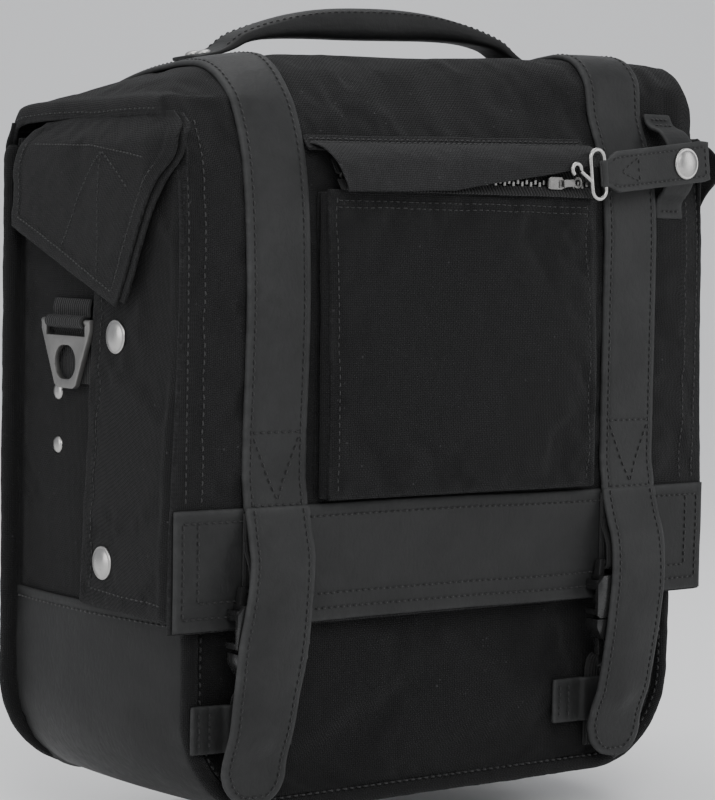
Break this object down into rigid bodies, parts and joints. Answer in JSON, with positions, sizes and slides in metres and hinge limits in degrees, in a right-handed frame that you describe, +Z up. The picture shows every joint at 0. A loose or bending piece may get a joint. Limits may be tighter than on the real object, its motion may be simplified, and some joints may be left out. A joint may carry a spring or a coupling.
{
  "type": "pannier bag",
  "caption": "Fabric pannier bag with a leather boot, hinged lid and front flap, zip pocket, buckled leather straps, side wings, carry handle, rings and rear rack hooks.",
  "frame": {"origin": "middle of the base at the height of the flat leather base panel", "axes": "+X to the bag's right as seen from the front, +Y towards the back where the rack hooks are, +Z up"},
  "size_m": [0.3636, 0.2094, 0.419],
  "materials": {
    "cordura": "coarse woven, matte",
    "leather": "waxed, matte, mottled",
    "webbing": "ribbed webbing, matte",
    "lining": "plain weave, matte",
    "nickel": "satin nickel plate",
    "zip_metal": "worn nickel",
    "plastic": "moulded, fine grain",
    "board": "smooth",
    "aluminium": "anodised, satin"
  },
  "bodies": {
    "bag": {"front_panel": "cordura", "back_panel": "cordura", "side_wall_left": "cordura", "side_wall_right": "cordura", "bottom_wall": "cordura", "boot_left": "leather", "boot_right": "leather", "base_panel": "leather", "edge_piping": "cordura", "lining": "lining", "back_stiffener": "board", "base_board": "board", "lower_webbings": "webbing", "keeper_tabs": "leather", "ring_webbings": "webbing", "side_rivets": "nickel", "wing_studs": "nickel", "mount_rail": "aluminium", "rail_screws": "nickel", "rack_hooks": "plastic", "lower_rail": "aluminium"},
    "lid": {"lid_panel": "cordura", "strap_tops": "leather", "handle_pads": "leather", "handle_rivets": "nickel"},
    "handle": {"handle_grip": "leather"},
    "flap": {"flap_front": "cordura", "leather_band": "leather", "strap_fronts": "leather", "pocket_face": "cordura", "pocket_bellows": "cordura", "storm_flap": "cordura", "zip_tape": "webbing", "zip_chain": "zip_metal", "lock_loop": "leather", "lock_stud": "nickel", "upper_webbings": "webbing", "buckle_females": "plastic"},
    "wing_l": {"wing_left": "cordura", "wing_snaps_left": "nickel"},
    "wing_r": {"wing_right": "cordura", "wing_snaps_right": "nickel"},
    "ear_l": {"ear_left": "cordura"},
    "ear_r": {"ear_right": "cordura"},
    "tail_l": {"tail_left": "leather"},
    "tail_r": {"tail_right": "leather"},
    "buckle_l": {"buckle_male_left": "plastic", "male_webbing_left": "webbing"},
    "buckle_r": {"buckle_male_right": "plastic", "male_webbing_right": "webbing"},
    "slider": {"zip_slider": "zip_metal"},
    "puller": {"zip_puller": "zip_metal"},
    "lock_tab_body": {"lock_tab": "leather", "lock_snap": "nickel"},
    "hook_wire": {"wire_hook": "nickel"},
    "ring_l": {"ring_left": "nickel"},
    "ring_r": {"ring_right": "nickel"},
    "latch_l": {"latch_left": "plastic"},
    "latch_r": {"latch_right": "plastic"},
    "low_hook": {"lower_hook": "plastic"}
  },
  "joints": [
    {"name": "lid_hinge", "type": "hinge", "parent": "bag", "child": "lid", "pos_m": [0, 0.08, 0.346], "axis": [-1, 0, 0], "range_deg": [0, 105]},
    {"name": "flap_fold", "type": "hinge", "parent": "lid", "child": "flap", "pos_m": [0, -0.066, 0.377], "axis": [-1, 0, 0], "range_deg": [0, 150]},
    {"name": "wing_hinge_left", "type": "hinge", "parent": "flap", "child": "wing_l", "pos_m": [-0.1732, -0.0855, 0.22], "axis": [0, 0, 1], "range_deg": [0, 75]},
    {"name": "wing_hinge_right", "type": "hinge", "parent": "flap", "child": "wing_r", "pos_m": [0.1732, -0.0855, 0.22], "axis": [0, 0, -1], "range_deg": [0, 75]},
    {"name": "ear_hinge_left", "type": "hinge", "parent": "lid", "child": "ear_l", "pos_m": [-0.1762, 0, 0.352], "axis": [0, 1, 0], "range_deg": [0, 106]},
    {"name": "ear_hinge_right", "type": "hinge", "parent": "lid", "child": "ear_r", "pos_m": [0.1762, 0, 0.352], "axis": [0, -1, 0], "range_deg": [0, 106]},
    {"name": "tail_hinge_left", "type": "hinge", "parent": "flap", "child": "tail_l", "pos_m": [-0.117, -0.096, 0.158], "axis": [-1, 0, 0], "range_deg": [0, 120]},
    {"name": "tail_hinge_right", "type": "hinge", "parent": "flap", "child": "tail_r", "pos_m": [0.117, -0.096, 0.158], "axis": [-1, 0, 0], "range_deg": [0, 120]},
    {"name": "buckle_slide_left", "type": "slide", "parent": "bag", "child": "buckle_l", "axis": [0, 0, -1], "range_m": [0, 0.016]},
    {"name": "buckle_slide_right", "type": "slide", "parent": "bag", "child": "buckle_r", "axis": [0, 0, -1], "range_m": [0, 0.016]},
    {"name": "zip_run", "type": "slide", "parent": "flap", "child": "slider", "axis": [-1, 0, 0], "range_m": [0, 0.134]},
    {"name": "puller_lift", "type": "hinge", "parent": "slider", "child": "puller", "pos_m": [0.0614, -0.09635, 0.3248], "axis": [0, 0, 1], "range_deg": [-100, 0]},
    {"name": "lock_swing", "type": "hinge", "parent": "flap", "child": "lock_tab_body", "pos_m": [0.144, -0.0992, 0.338], "axis": [-0.0175, 0.9998, 0], "range_deg": [-20, 20]},
    {"name": "hook_swing", "type": "hinge", "parent": "lock_tab_body", "child": "hook_wire", "pos_m": [0.08518, -0.10183, 0.33077], "axis": [-0.1219, -0.0021, 0.9925], "range_deg": [0, 60]},
    {"name": "ring_swing_left", "type": "hinge", "parent": "bag", "child": "ring_l", "pos_m": [-0.1765, 0.016, 0.248], "axis": [0, 1, 0], "range_deg": [0, 110]},
    {"name": "ring_swing_right", "type": "hinge", "parent": "bag", "child": "ring_r", "pos_m": [0.1765, 0.016, 0.248], "axis": [0, -1, 0], "range_deg": [0, 110]},
    {"name": "handle_tilt", "type": "hinge", "parent": "lid", "child": "handle", "pos_m": [0, 0.0025, 0.394], "axis": [1, 0, 0], "range_deg": [-45, 45], "stiffness_Nm_per_rad": 0.3},
    {"name": "latch_spring_left", "type": "hinge", "parent": "bag", "child": "latch_l", "pos_m": [-0.085, 0.0998, 0.3183], "axis": [-1, 0, 0], "range_deg": [-65, 0], "stiffness_Nm_per_rad": 0.05},
    {"name": "latch_spring_right", "type": "hinge", "parent": "bag", "child": "latch_r", "pos_m": [0.085, 0.0998, 0.3183], "axis": [-1, 0, 0], "range_deg": [-65, 0], "stiffness_Nm_per_rad": 0.05},
    {"name": "lower_hook_slide", "type": "slide", "parent": "bag", "child": "low_hook", "axis": [1, 0, 0], "range_m": [-0.045, 0.045]}
  ],
  "couplings": [
    {"joint": "ear_hinge_left", "follows": "wing_hinge_left", "ratio": 1.4},
    {"joint": "ear_hinge_right", "follows": "wing_hinge_right", "ratio": 1.4}
  ]
}
